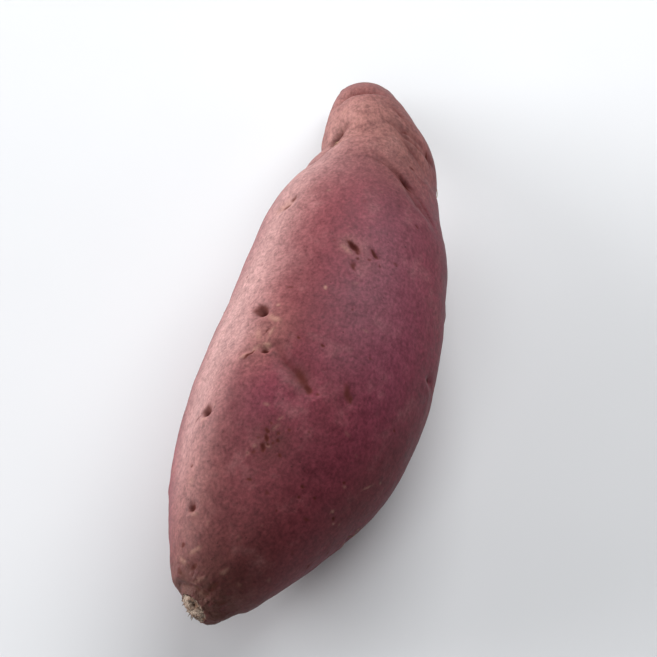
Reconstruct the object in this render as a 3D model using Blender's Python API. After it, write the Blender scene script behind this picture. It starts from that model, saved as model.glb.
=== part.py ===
"""Sweet potato: one spindle-shaped, red-skinned root as picked, lying on its side.

X runs along the root from the stem scar to the broken tail, Y to its left and Z up. The origin is the
middle of the base of its box, so that the root lies on the plane Z = 0.

A place on the skin is given as (along, around): the distance along the spine from the stem scar, and the
angle from the top of the root towards its left side, as seen from the scar. Tables give them in
millimetres and degrees, and the functions take metres and radians.
"""

import math

import bmesh
import bpy
import numpy as np

MM = 0.001

# Driving dimensions
LENGTH = 166.5 * MM  # along X, from the stem end of the spine to the tail's
HALF_WIDTH = 28.8 * MM  # of the widest section
ROUNDNESS = 0.95  # height of a section as a share of its width
REST_CUT = 0.7 * MM  # how much the flat spot underneath takes off

# The spine and the sections on it, from the scar to the tail: along X as a share of LENGTH, then to the
# left, up and the half width of the section, as shares of HALF_WIDTH.
STATIONS = (
    (0.003, 0.460, -0.04, 0.150),
    (0.015, 0.418, -0.05, 0.240),
    (0.035, 0.385, -0.04, 0.360),
    (0.072, 0.328, -0.02, 0.500),
    (0.132, 0.245, 0.00, 0.685),
    (0.213, 0.140, 0.01, 0.86),
    (0.310, 0.015, 0.01, 0.98),
    (0.388, -0.055, 0.01, 1.00),
    (0.478, -0.090, 0.00, 0.975),
    (0.580, -0.080, -0.01, 0.91),
    (0.673, -0.055, -0.03, 0.81),
    (0.751, -0.070, -0.05, 0.63),
    (0.796, -0.070, -0.07, 0.54),
    (0.850, 0.045, -0.10, 0.443),
    (0.894, 0.140, -0.19, 0.360),
    (0.934, 0.225, -0.36, 0.282),
    (0.957, 0.300, -0.51, 0.205),
    (0.972, 0.360, -0.61, 0.15),
    (0.985, 0.415, -0.68, 0.10),
    (1.000, 0.455, -0.74, 0.075),
)

# Broad swells and hollows: along, around, reach along, reach across and height, in millimetres but for
# around. A hollow has a height below 0.
SWELLS = (
    (38, 34, 34, 6, 1.3),
    (34, 4, 30, 11, -0.9),
    (36, 64, 34, 10, -0.8),
    (88, -14, 22, 12, 0.5),
    (98, 62, 26, 11, -0.3),
    (66, 20, 8, 9, 0.7),
    (52, 12, 7, 5, 0.5),
    (112, 30, 12, 8, 0.4),
    (60, -60, 30, 12, -0.4),
    (44, 118, 22, 12, 0.6),
    (80, 140, 22, 12, -0.8),
    (58, -125, 24, 12, 0.5),
    (92, -100, 20, 10, -0.6),
    (108, -150, 18, 11, 0.6),
    (24, -100, 12, 9, -0.6),
)

# Eyes, where side roots grew, each a pit with a low lip on the side of the scar: along, around, half
# length, half breadth and depth in millimetres, and the turn in degrees from straight across the root.
EYES = (
    (71.5, 33, 2.5, 2.1, 1.3, -33),
    (40.5, 43, 1.7, 1.5, 1.2, 0),
    (59.5, 21, 1.6, 0.9, 0.8, 25),
    (58.0, 30, 2.4, 0.9, 0.6, 20),
    (18.5, 36, 1.2, 1.1, 0.9, 0),
    (94.0, -6, 2.4, 1.2, 0.6, -35),
    (93.0, -19, 2.0, 1.1, 0.45, -40),
    (88.0, -10, 1.8, 1.1, 0.35, -30),
    (108.8, 43, 3.0, 1.6, 0.7, 25),
    (121.5, -35, 2.4, 1.0, 0.6, -35),
    (56.5, -30, 2.4, 1.2, 0.35, -50),
    (139.8, 47, 2.2, 0.8, 0.45, 35),
    (73.5, -76, 2.2, 1.2, 0.7, 10),
    (28.0, 97, 2.4, 1.2, 0.8, 5),
    (53.0, 108, 2.8, 1.4, 1.0, -10),
    (83.0, 96, 2.6, 1.3, 0.9, 10),
    (114.0, 104, 2.2, 1.2, 0.9, 20),
    (38.0, 156, 2.4, 1.3, 0.9, 0),
    (101.0, 150, 3.0, 1.5, 1.1, -15),
    (132.0, 160, 2.0, 1.1, 0.8, 10),
    (24.0, -148, 2.0, 1.1, 0.8, 5),
    (50.0, -140, 2.8, 1.4, 1.0, 15),
    (79.0, -152, 2.4, 1.3, 0.9, -10),
    (111.0, -128, 2.4, 1.3, 0.9, 10),
    (35.0, -104, 2.6, 1.4, 1.0, 0),
    (96.0, -92, 2.6, 1.2, 0.8, -20),
    (130.0, -96, 1.9, 1.0, 0.7, 10),
)
LIP_HEIGHT = 0.3  # of an eye's depth
LIP_PLACE = 1.7  # distance of the lip from the eye's middle, in half breadths
LIP_LENGTH = 1.2  # of an eye's half length

# Folds and furrows: half breadth and depth in millimetres, and the places that the fold runs through.
FOLDS = (
    (1.5, 0.8, ((130, 6), (126.5, -14), (123, -29), (116, -46), (111, -62))),
    (2.0, 0.9, ((142.5, 28), (139.2, 45), (132, 46), (126, 56), (122, 80))),
    (1.2, 0.5, ((137, -20), (133, -38), (130, -58))),
    (1.2, 0.6, ((142.5, -12), (138.5, -32), (136, -52), (132, -76))),
    (1.5, 0.8, ((149.8, 54), (152.2, 40), (152.8, 22), (152.0, 4), (151.6, -16), (149.8, -36))),
    (2.3, 1.3, ((62, 18), (57.6, 9), (54.6, -5), (51.0, -14))),
    (1.6, 0.7, ((129, 130), (127, 165), (129, -160))),
    (1.3, 0.5, ((145, 118), (142, 150), (143, -175))),
    (2.2, 0.5, ((118, -122), (133, -112), (148, -104))),
    (2.0, 0.5, ((120, 84), (135, 96), (151, 104))),
)

# Puckers of the skin where the root draws in at its two ends
PUCKERS = 7
PUCKER_DEPTH = 0.25 * MM
PUCKER_REACH = 7 * MM
PUCKER_TWIST = 0.6  # radians by which they lean over their reach

# The stem scar: its flat rim, and the stump that stands over it and is steeper at its foot
SCAR_RIM = 0.5 * MM
STUMP_FOOT = 1.0 * MM
STUMP_RISE = 0.6 * MM  # over its foot
STUMP_SLOPE = 1.2 * MM
STUMP_CROWN = 0.3 * MM  # rise over the slope

# The broken tail: its flat rim, and how far the middle lies below it
TAIL_RIM = 0.5 * MM
TAIL_HOLLOW = 0.3 * MM

# Net of the skin
SEGMENTS = 44
LEAST_STEP = 0.6 * MM
STEP_SHARE = 0.135  # of the half width, added to the least step between two rings
FINE_EDGE = 1.6 * MM  # an edge near a mark that is longer than this is halved
FINE_REACH = 1.1  # how far the finer net reaches, as a share of the mark's half length or half breadth
ROUNDS = 2  # of halving the edges near marks
LEAST_EDGE = 0.03 * MM  # an edge this short or shorter, left by the cut, is closed up

SKIN_COLOUR = (0.262, 0.070, 0.102, 1.0)
SKIN_ROUGHNESS = 0.55


def clear_scene():
    for obj in list(bpy.data.objects):
        bpy.data.objects.remove(obj)


def stations():
    """The stations in metres, and the distance of each along the spine."""
    rows = np.array(STATIONS) * (LENGTH, HALF_WIDTH, HALF_WIDTH, HALF_WIDTH)
    chords = np.linalg.norm(np.diff(rows[:, :3], axis=0), axis=1)
    return rows, np.concatenate([[0.0], np.cumsum(chords)])


def along_spine(at):
    """Points of the spine and half widths of its sections, at the given distances along it."""
    rows, knots = stations()
    slopes = np.gradient(rows, knots, axis=0)
    at = np.clip(at, 0.0, knots[-1])
    low = np.clip(np.searchsorted(knots, at, side="right") - 1, 0, len(knots) - 2)
    span = (knots[low + 1] - knots[low])[:, None]
    u = (at - knots[low])[:, None] / span
    found = (
        (2 * u**3 - 3 * u**2 + 1) * rows[low]
        + (u**3 - 2 * u**2 + u) * span * slopes[low]
        + (3 * u**2 - 2 * u**3) * rows[low + 1]
        + (u**3 - u**2) * span * slopes[low + 1]
    )
    return found[:, :3], found[:, 3]


def spine_length():
    return stations()[1][-1]


def from_mark(along, around, mark_along, mark_around, turn=0.0):
    """Distances on the skin from a mark: along the root and across it, in the mark's own turn."""
    ahead = along - mark_along * MM
    angle = (around - math.radians(mark_around) + math.pi) % math.tau - math.pi
    across = along_spine(along)[1] * angle
    cosine, sine = math.cos(math.radians(turn)), math.sin(math.radians(turn))
    return ahead * cosine + across * sine, across * cosine - ahead * sine


def swell_height(along, around):
    height = np.zeros(len(along))
    for mark_along, mark_around, reach, breadth, rise in SWELLS:
        ahead, across = from_mark(along, around, mark_along, mark_around)
        height += rise * MM * np.exp(-((ahead / (reach * MM)) ** 2) - (across / (breadth * MM)) ** 2)
    return height


def eye_height(along, around):
    height = np.zeros(len(along))
    for mark_along, mark_around, half_length, half_breadth, depth, turn in EYES:
        ahead, across = from_mark(along, around, mark_along, mark_around, turn)
        ahead, across = ahead / (half_breadth * MM), across / (half_length * MM)
        pit = np.exp(-(ahead**2) - across**2)
        lip = np.exp(-((ahead + LIP_PLACE) ** 2) - (across / LIP_LENGTH) ** 2)
        height += depth * MM * (LIP_HEIGHT * lip - pit)
    return height


def fold_distance(along, around, places):
    """Distance on the skin from a fold, and how far along the fold from 0 to 1 its nearest point lies."""
    nearest, share = np.full(len(along), np.inf), np.zeros(len(along))
    for number, (start, end) in enumerate(zip(places, places[1:])):
        ahead, across = from_mark(along, around, *start)
        half_width = along_spine(np.array([start[0] * MM]))[1][0]
        turned = (end[1] - start[1] + 180) % 360 - 180
        run = np.array([(end[0] - start[0]) * MM, half_width * math.radians(turned)])
        u = np.clip((ahead * run[0] + across * run[1]) / (run @ run), 0.0, 1.0)
        distance = np.hypot(ahead - u * run[0], across - u * run[1])
        share = np.where(distance < nearest, (number + u) / (len(places) - 1), share)
        nearest = np.minimum(nearest, distance)
    return nearest, share


def fold_height(along, around):
    height = np.zeros(len(along))
    for half_breadth, depth, places in FOLDS:
        distance, share = fold_distance(along, around, places)
        fading = np.sin(math.pi * np.clip(share, 0.0, 1.0)) ** 0.7
        height -= depth * MM * fading * np.exp(-((distance / (half_breadth * MM)) ** 2))
    return height


def pucker_height(along, around):
    height = np.zeros(len(along))
    for from_end in (along, spine_length() - along):
        nearness = np.exp(-((from_end / PUCKER_REACH) ** 2)) * np.clip(from_end / MM, 0.0, 1.0)
        lean = PUCKER_TWIST * from_end / PUCKER_REACH
        height -= PUCKER_DEPTH * nearness * np.cos(PUCKERS * (around + lean))
    return height


def skin_points(along, around):
    """Points of the skin at the given places."""
    centres, half_widths = along_spine(along)
    step = 0.5 * MM
    tangents = along_spine(along + step)[0] - along_spine(along - step)[0]
    tangents /= np.linalg.norm(tangents, axis=1)[:, None]
    sides = np.cross([0.0, 0.0, 1.0], tangents)
    sides /= np.linalg.norm(sides, axis=1)[:, None]
    ups = np.cross(tangents, sides)
    sine, cosine = np.sin(around), np.cos(around)
    radius = half_widths / np.sqrt(sine**2 + (cosine / ROUNDNESS) ** 2)
    for height in (swell_height, eye_height, fold_height, pucker_height):
        radius = radius + height(along, around)
    return centres + radius[:, None] * (ups * cosine[:, None] + sides * sine[:, None])


def ring_places():
    """Distances along the spine of the net's rings, closer together where the root is thin."""
    places, end = [0.0], spine_length()
    while places[-1] < end:
        half_width = along_spine(np.array([places[-1]]))[1][0]
        places.append(places[-1] + LEAST_STEP + STEP_SHARE * half_width)
    return np.array(places) * end / places[-1]


class Net:
    """The skin's mesh, whose points keep their places on the skin while the net is made finer."""

    def __init__(self):
        self.bm = bmesh.new()
        self.layers = [self.bm.verts.layers.float.new(name) for name in ("along", "cosine", "sine")]

    def add_rings(self):
        rings = ring_places()
        angles = np.arange(SEGMENTS) * math.tau / SEGMENTS
        for place in rings:
            for angle in angles:
                vert = self.bm.verts.new((place, math.sin(angle), math.cos(angle)))
                for layer, value in zip(self.layers, (place, math.cos(angle), math.sin(angle))):
                    vert[layer] = value
        self.bm.verts.ensure_lookup_table()
        for ring in range(len(rings) - 1):
            for i in range(SEGMENTS):
                a, b = ring * SEGMENTS + i, ring * SEGMENTS + (i + 1) % SEGMENTS
                self.bm.faces.new([self.bm.verts[k] for k in (a, b, b + SEGMENTS, a + SEGMENTS)])
        bmesh.ops.triangulate(self.bm, faces=self.bm.faces)

    def places(self):
        values = np.array([[vert[layer] for layer in self.layers] for vert in self.bm.verts])
        return values[:, 0], np.arctan2(values[:, 2], values[:, 1])

    def settle(self):
        """Puts each point where its place on the skin is."""
        for vert, point in zip(self.bm.verts, skin_points(*self.places())):
            vert.co = point

    def refine(self):
        """Halves the long edges near the eyes and folds."""
        near = near_marks(*self.places())
        self.bm.verts.index_update()
        long_edges = [
            edge
            for edge in self.bm.edges
            if edge.calc_length() > FINE_EDGE and all(near[vert.index] for vert in edge.verts)
        ]
        bmesh.ops.subdivide_edges(self.bm, edges=long_edges, cuts=1, use_grid_fill=True)
        bmesh.ops.triangulate(self.bm, faces=self.bm.faces)
        self.settle()


def near_marks(along, around):
    """Whether each place is so near an eye or a fold that the net has to be fine there."""
    near = np.zeros(len(along), bool)
    for mark_along, mark_around, half_length, *_ in EYES:
        ahead, across = from_mark(along, around, mark_along, mark_around)
        near |= np.hypot(ahead, across) < FINE_REACH * half_length * MM + FINE_EDGE
    for half_breadth, _, places in FOLDS:
        distance, _ = fold_distance(along, around, places)
        near |= distance < FINE_REACH * half_breadth * MM + FINE_EDGE
    return near


def close_ends(bm):
    """Closes the two ends: a low stump in the stem scar's rim, and a hollow in the broken tail's."""
    ends = bmesh.ops.holes_fill(bm, edges=bm.edges, sides=0)["faces"]
    scar, tail = sorted(ends, key=lambda face: face.calc_center_median().x)
    bmesh.ops.recalc_face_normals(bm, faces=bm.faces)
    bmesh.ops.inset_region(bm, faces=[scar], thickness=SCAR_RIM, depth=0.0)
    bmesh.ops.inset_region(bm, faces=[scar], thickness=STUMP_FOOT, depth=STUMP_RISE)
    bmesh.ops.inset_region(bm, faces=[scar], thickness=STUMP_SLOPE, depth=STUMP_CROWN)
    bmesh.ops.inset_region(bm, faces=[tail], thickness=TAIL_RIM, depth=0.0)
    bmesh.ops.inset_region(bm, faces=[tail], thickness=TAIL_RIM, depth=-TAIL_HOLLOW)


def cut_rest_spot(bm):
    """Cuts the small flat spot underneath on which the root lies still."""
    level = min(vert.co.z for vert in bm.verts) + REST_CUT
    geometry = bm.verts[:] + bm.edges[:] + bm.faces[:]
    cut = bmesh.ops.bisect_plane(
        bm, geom=geometry, plane_co=(0, 0, level), plane_no=(0, 0, -1), clear_outer=True
    )["geom_cut"]
    rim = [part for part in cut if isinstance(part, bmesh.types.BMEdge)]
    bmesh.ops.holes_fill(bm, edges=rim, sides=0)
    bmesh.ops.dissolve_degenerate(bm, dist=LEAST_EDGE, edges=bm.edges)


def centre(bm):
    """Moves the root so that the origin is the middle of the base of its box."""
    points = np.array([vert.co for vert in bm.verts])
    low, high = points.min(axis=0), points.max(axis=0)
    shift = (-(low[0] + high[0]) / 2, -(low[1] + high[1]) / 2, -low[2])
    bmesh.ops.translate(bm, vec=shift, verts=bm.verts)


def skin_material():
    material = bpy.data.materials.new("skin")
    material.use_nodes = True
    shader = material.node_tree.nodes["Principled BSDF"]
    shader.inputs["Base Color"].default_value = SKIN_COLOUR
    shader.inputs["Roughness"].default_value = SKIN_ROUGHNESS
    shader.inputs["Metallic"].default_value = 0.0
    return material


def make_root():
    net = Net()
    net.add_rings()
    net.settle()
    for _ in range(ROUNDS):
        net.refine()
    bm = net.bm
    close_ends(bm)
    cut_rest_spot(bm)
    centre(bm)
    bmesh.ops.triangulate(bm, faces=bm.faces)
    mesh = bpy.data.meshes.new("sweet_potato")
    bm.to_mesh(mesh)
    bm.free()
    mesh.materials.append(skin_material())
    mesh.shade_smooth()
    mesh.set_sharp_from_angle(angle=math.radians(50))
    obj = bpy.data.objects.new("sweet_potato", mesh)
    bpy.context.scene.collection.objects.link(obj)
    return obj


clear_scene()
make_root()
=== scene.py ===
"""The looks of the sweet potato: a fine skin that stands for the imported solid, root hairs, the frayed
stem scar, a plain floor, soft lights and the camera.

X runs along the root from the stem scar to the tail, Y to its left and Z up. A place on the skin is given
as (along, around): the distance along the spine from the scar, and the angle from the top of the root
towards its left side. The tables give marks in millimetres and degrees, and places on the net are in
metres and radians. The form follows the same named values as the solid's own source, and finer marks
are added.
"""

import math
import random
from types import SimpleNamespace

import bmesh
import bpy
import numpy as np
from mathutils import Matrix, Vector, noise


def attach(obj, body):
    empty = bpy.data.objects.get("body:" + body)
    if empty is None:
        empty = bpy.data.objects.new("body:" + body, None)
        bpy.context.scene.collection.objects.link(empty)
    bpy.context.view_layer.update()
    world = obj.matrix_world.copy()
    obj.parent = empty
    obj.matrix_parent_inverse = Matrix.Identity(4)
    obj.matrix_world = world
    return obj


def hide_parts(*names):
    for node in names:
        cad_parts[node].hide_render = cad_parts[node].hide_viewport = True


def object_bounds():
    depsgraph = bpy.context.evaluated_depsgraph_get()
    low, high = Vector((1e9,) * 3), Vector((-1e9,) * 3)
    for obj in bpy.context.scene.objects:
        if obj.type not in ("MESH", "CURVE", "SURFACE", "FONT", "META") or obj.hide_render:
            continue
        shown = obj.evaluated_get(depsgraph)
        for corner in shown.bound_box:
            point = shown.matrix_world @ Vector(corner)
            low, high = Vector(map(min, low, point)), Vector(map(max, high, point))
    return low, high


MM = 0.001

# Driving dimensions of the form
LENGTH = 166.5 * MM
HALF_WIDTH = 28.8 * MM
ROUNDNESS = 0.95  # height of a section as a share of its width
REST_CUT = 0.7 * MM  # how much the flat spot underneath takes off

# The spine and the sections on it: along X as a share of LENGTH, then to the left, up and the half width
# of the section, as shares of HALF_WIDTH.
STATIONS = (
    (0.003, 0.460, -0.04, 0.150),
    (0.015, 0.418, -0.05, 0.240),
    (0.035, 0.385, -0.04, 0.360),
    (0.072, 0.328, -0.02, 0.500),
    (0.132, 0.245, 0.00, 0.685),
    (0.213, 0.140, 0.01, 0.86),
    (0.310, 0.015, 0.01, 0.98),
    (0.388, -0.055, 0.01, 1.00),
    (0.478, -0.090, 0.00, 0.975),
    (0.580, -0.080, -0.01, 0.91),
    (0.673, -0.055, -0.03, 0.81),
    (0.751, -0.070, -0.05, 0.63),
    (0.796, -0.070, -0.07, 0.54),
    (0.850, 0.045, -0.10, 0.443),
    (0.894, 0.140, -0.19, 0.360),
    (0.934, 0.225, -0.36, 0.282),
    (0.957, 0.300, -0.51, 0.205),
    (0.972, 0.360, -0.61, 0.15),
    (0.985, 0.415, -0.68, 0.10),
    (1.000, 0.455, -0.74, 0.075),
)

# Broad swells and hollows: along, around, reach along, reach across and height
SWELLS = (
    (38, 34, 34, 6, 1.3),
    (34, 4, 30, 11, -0.9),
    (36, 64, 34, 10, -0.8),
    (88, -14, 22, 12, 0.5),
    (98, 62, 26, 11, -0.3),
    (66, 20, 8, 9, 0.7),
    (52, 12, 7, 5, 0.5),
    (112, 30, 12, 8, 0.4),
    (60, -60, 30, 12, -0.4),
    (44, 118, 22, 12, 0.6),
    (80, 140, 22, 12, -0.8),
    (58, -125, 24, 12, 0.5),
    (92, -100, 20, 10, -0.6),
    (108, -150, 18, 11, 0.6),
    (24, -100, 12, 9, -0.6),
)

# Eyes, each a pit with a low lip on the side of the scar: along, around, half length, half breadth, depth,
# and the turn in degrees from straight across the root.
EYES = (
    (71.5, 33, 2.5, 2.1, 1.3, -33),
    (40.5, 43, 1.7, 1.5, 1.2, 0),
    (59.5, 21, 1.6, 0.9, 0.8, 25),
    (58.0, 30, 2.4, 0.9, 0.6, 20),
    (18.5, 36, 1.2, 1.1, 0.9, 0),
    (94.0, -6, 2.4, 1.2, 0.6, -35),
    (93.0, -19, 2.0, 1.1, 0.45, -40),
    (88.0, -10, 1.8, 1.1, 0.35, -30),
    (108.8, 43, 3.0, 1.6, 0.7, 25),
    (121.5, -35, 2.4, 1.0, 0.6, -35),
    (56.5, -30, 2.4, 1.2, 0.35, -50),
    (139.8, 47, 2.2, 0.8, 0.45, 35),
    (73.5, -76, 2.2, 1.2, 0.7, 10),
    (28.0, 97, 2.4, 1.2, 0.8, 5),
    (53.0, 108, 2.8, 1.4, 1.0, -10),
    (83.0, 96, 2.6, 1.3, 0.9, 10),
    (114.0, 104, 2.2, 1.2, 0.9, 20),
    (38.0, 156, 2.4, 1.3, 0.9, 0),
    (101.0, 150, 3.0, 1.5, 1.1, -15),
    (132.0, 160, 2.0, 1.1, 0.8, 10),
    (24.0, -148, 2.0, 1.1, 0.8, 5),
    (50.0, -140, 2.8, 1.4, 1.0, 15),
    (79.0, -152, 2.4, 1.3, 0.9, -10),
    (111.0, -128, 2.4, 1.3, 0.9, 10),
    (35.0, -104, 2.6, 1.4, 1.0, 0),
    (96.0, -92, 2.6, 1.2, 0.8, -20),
    (130.0, -96, 1.9, 1.0, 0.7, 10),
)
LIP_HEIGHT = 0.3  # of an eye's depth
LIP_PLACE = 1.7  # distance of the lip from the eye's middle, in half breadths
LIP_LENGTH = 1.2  # of an eye's half length

# Folds and furrows: half breadth, depth, and the places that the fold runs through
FOLDS = (
    (1.5, 0.8, ((130, 6), (126.5, -14), (123, -29), (116, -46), (111, -62))),
    (2.0, 0.9, ((142.5, 28), (139.2, 45), (132, 46), (126, 56), (122, 80))),
    (1.2, 0.5, ((137, -20), (133, -38), (130, -58))),
    (1.2, 0.6, ((142.5, -12), (138.5, -32), (136, -52), (132, -76))),
    (1.5, 0.8, ((149.8, 54), (152.2, 40), (152.8, 22), (152.0, 4), (151.6, -16), (149.8, -36))),
    (2.3, 1.3, ((62, 18), (57.6, 9), (54.6, -5), (51.0, -14))),
    (1.6, 0.7, ((129, 130), (127, 165), (129, -160))),
    (1.3, 0.5, ((145, 118), (142, 150), (143, -175))),
    (2.2, 0.5, ((118, -122), (133, -112), (148, -104))),
    (2.0, 0.5, ((120, 84), (135, 96), (151, 104))),
)

# Puckers where the root draws in at its ends
PUCKERS = 7
PUCKER_DEPTH = 0.25 * MM
PUCKER_REACH = 7 * MM
PUCKER_TWIST = 0.6  # radians by which they lean over their reach

# Dark marks in and beside the eyes, and dark specks: along, around, half length, half breadth, turn,
# darkness and depth. At the larger eyes a broad soft mark is painted shade of the hollow, round the eye's own
# dark core.
DARK_MARKS = (
    (71.4, 34, 2.5, 2.0, -33, 0.6, 0.05),
    (70.5, 32, 1.8, 1.3, -40, 1.0, 1.1),
    (72.4, 35, 0.8, 0.7, -30, 0.6, 0.15),
    (40.7, 44, 2.0, 1.6, 0, 0.55, 0.05),
    (40.6, 44, 1.2, 0.9, 0, 0.85, 0.6),
    (39.2, 51, 1.7, 0.3, 30, 0.45, 0.1),
    (18.5, 36, 0.9, 0.75, 0, 0.7, 0.4),
    (94.3, -6, 2.4, 0.8, -35, 0.9, 0.25),
    (92.6, -9, 0.9, 0.6, -35, 0.6, 0.08),
    (93.6, -18, 1.6, 0.6, -40, 0.75, 0.15),
    (90.6, -22, 0.7, 0.3, -60, 0.4, 0.06),
    (88.3, -8, 1.4, 0.7, -65, 0.5, 0.08),
    (90.8, -9.5, 0.5, 0.45, 0, 0.5, 0.06),
    (91.3, -16, 0.6, 0.5, 0, 0.45, 0.06),
    (109.9, 41, 1.3, 0.6, 30, 0.5, 0.1),
    (107.8, 45, 1.4, 0.9, 20, 0.55, 0.12),
    (121.7, -35, 2.0, 0.4, -38, 0.95, 0.3),
    (133.9, -63, 1.5, 0.5, -75, 0.7, 0.15),
    (56.4, -28, 2.7, 1.2, -55, 0.5, 0.06),
    (55.6, -31, 1.2, 0.6, -60, 0.6, 0.08),
    (58.9, 21, 0.9, 0.75, 0, 1.0, 0.5),
    (56.9, 28.5, 1.9, 0.4, 58, 0.85, 0.15),
    (64.3, 24, 1.3, 0.25, 70, 0.5, 0.05),
    # The next three lie along the groove: painted shade on its wall that faces away from the window light
    (55.2, -3.0, 3.6, 1.3, -40, 0.45, 0.05),
    (53.2, -8.5, 1.7, 0.9, -45, 0.7, 0.1),
    (52.8, -14, 0.6, 0.5, 0, 0.45, 0.06),
    (64.5, 7, 0.55, 0.4, -20, 0.6, 0.1),
    (64.5, -6, 0.65, 0.4, -30, 0.6, 0.1),
    (76.0, -14, 0.4, 0.35, 0, 0.4, 0.05),
    (41.8, 1, 0.6, 0.4, 0, 0.45, 0.05),
    (37.6, 4.5, 0.5, 0.4, 0, 0.4, 0.05),
    (39.8, 1.5, 0.9, 0.5, -30, 0.75, 0.08),
    (38.1, 0, 1.0, 0.55, -50, 0.85, 0.08),
    (36.0, -0.5, 1.2, 0.65, -50, 0.9, 0.08),
    (37.0, -2.5, 0.5, 0.4, 0, 0.6, 0.05),
    (38.7, -6.7, 0.7, 0.5, 0, 0.6, 0.06),
    (40.3, -5.3, 0.6, 0.4, 0, 0.5, 0.05),
    (41.9, -10, 0.5, 0.45, 0, 0.5, 0.05),
    (37.6, -4.8, 0.5, 0.4, 40, 0.5, 0.05),
    (34.2, 4, 0.8, 0.5, 0, 0.4, 0.05),
    (35.8, -12, 0.7, 0.45, -30, 0.55, 0.05),
    (43.6, -20, 0.45, 0.35, 0, 0.4, 0.05),
    (27.5, 44, 0.6, 0.45, 0, 0.55, 0.1),
    (10.5, 41, 0.8, 0.5, 0, 0.65, 0.15),
    (6.5, 20, 1.2, 0.5, 30, 0.7, 0.2),
    (2.4, 8, 1.1, 0.8, 20, 0.6, 0.15),
    (2.8, -14, 1.2, 0.9, 0, 0.65, 0.15),
    (4.8, -18, 1.6, 0.9, 60, 0.6, 0.1),
    (3.2, -50, 1.3, 0.7, 30, 0.5, 0.1),
    (5.2, 44, 1.2, 0.6, -20, 0.5, 0.1),
    (139.9, 46, 1.8, 0.34, 35, 0.85, 0.15),
    (32.1, -34, 0.5, 0.4, 0, 0.6, 0.06),
    (31.9, -45, 0.5, 0.45, 0, 0.6, 0.06),
    (29.8, -36, 0.45, 0.35, 0, 0.5, 0.05),
    (31.9, -66, 0.6, 0.4, 0, 0.75, 0.1),
    (39.5, -54, 0.5, 0.35, 0, 0.65, 0.08),
    (73.5, -76, 1.0, 0.5, 10, 0.7, 0.1),
    (57.0, -63, 0.6, 0.4, 0, 0.5, 0.1),
)

# Corky tan marks, in the same form but with a strength and a height in the last two
CORK_MARKS = (
    (68.4, 23, 2.0, 0.8, -20, 0.7, 0.1),
    (72.7, 24, 0.6, 0.5, 0, 0.7, 0.06),
    (64.2, 21.5, 0.45, 1.5, -10, 0.6, 0.1),
    (63.0, 27.5, 0.9, 1.6, 30, 0.4, 0.06),
    (60.6, 21.5, 1.1, 0.7, 20, 0.95, 0.16),
    (59.0, 26.5, 1.8, 0.5, 55, 0.6, 0.1),
    (56.2, 31, 1.8, 0.5, 50, 0.5, 0.06),
    (38.4, 43, 1.5, 0.6, 0, 0.4, 0.06),
    (42.0, 38, 0.8, 0.5, 0, 0.3, 0.06),
    (108.2, 47, 2.8, 1.7, 20, 0.5, 0.05),
    (138.0, 49, 2.0, 1.0, 35, 0.4, 0.06),
    (119.6, -31, 1.2, 0.6, -35, 0.3, 0.05),
    (92.8, -2.5, 1.8, 0.7, -35, 0.4, 0.05),
    (80.1, 3, 0.6, 0.45, -60, 0.8, 0.08),
    (43.7, -2, 0.7, 0.4, 60, 0.4, 0.04),
    (41.3, -2, 1.2, 0.7, 60, 0.3, 0.04),
    (36.7, -3, 0.7, 0.4, 0, 0.35, 0.04),
    (35.4, 4.5, 0.7, 0.5, 0, 0.3, 0.04),
    (33.4, 6.7, 0.6, 0.5, 0, 0.3, 0.04),
    (43.6, -70, 1.9, 0.35, 60, 0.45, 0.08),
    (46.9, -76, 0.6, 0.5, 0, 0.4, 0.05),
    (38.8, -56, 0.55, 0.4, 0, 0.5, 0.05),
    (32.6, -61, 0.55, 0.45, 0, 0.6, 0.06),
    (31.1, -69, 0.4, 0.35, 0, 0.45, 0.05),
    (32.4, -74, 0.45, 0.35, 0, 0.35, 0.05),
    (17.0, 32, 1.0, 0.6, 10, 0.4, 0.08),
    (24.0, 40, 1.2, 0.7, 0, 0.3, 0.06),
    (10.0, 22, 1.6, 0.6, 40, 0.6, 0.15),
    (7.0, 38, 1.4, 0.6, -20, 0.7, 0.18),
    (5.0, 4, 1.5, 0.5, 20, 0.5, 0.15),
    (3.6, 16, 1.0, 0.5, 0, 0.5, 0.1),
    (2.0, -4, 0.9, 0.45, 0, 0.5, 0.1),
    (8.5, -20, 1.0, 0.5, 60, 0.4, 0.1),
)
HAND_MARKED = 13  # this many of the eyes have their own dark and corky marks above

# Seeded small marks all over: how many, and how near each other they may come
SPECKS = 70
FLECKS = 130
MARKS_SEED = 11
SPACING = 4 * MM
FROM_SCAR = 6 * MM  # the nearest that they come to the scar
FROM_TAIL = 10 * MM
WARP_WAVELENGTH = 1.5 * MM  # of the waver in the marks' edges
WARP_SHARE = 0.8  # of a mark's half breadth
MOST_WARP = 0.35 * MM
WARP_APART = (31.7, -17.3, 9.1)  # between the two noises that an edge's waver is made of

# Thin creases, in the same form as the folds, cut in and darkened with painted shade
CREASES = (
    (0.8, 0.7, ((142.0, 20), (141.6, 30), (140.4, 43), (139.0, 53), (132.5, 63), (127.0, 66))),
    (0.5, 0.5, ((142.0, -10), (139.5, -22), (135.9, -34), (134.4, -50), (134.0, -66), (133.5, -82))),
    (0.4, 0.12, ((147.0, -26), (144.0, -36), (140.0, -44))),
    (0.6, 0.4, ((150.2, 48), (152.0, 36), (152.3, 20), (151.6, 2), (151.2, -16), (150.4, -32))),
    (
        0.5, 0.45,
        ((129.0, 10), (126.2, 0), (125.4, -12), (123.8, -26), (121.2, -40), (117.0, -52), (112.0, -62)),
    ),
)

# Fine wrinkles on the right of the neck: the first one's ends, the step to the next, and how many
WRINKLE_ENDS = ((131.0, -18), (124.5, -56))
WRINKLE_STEP = 1.9
WRINKLES = 9
WRINKLE_HALF_BREADTH = 0.5
WRINKLE_DEPTH = 0.2

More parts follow.
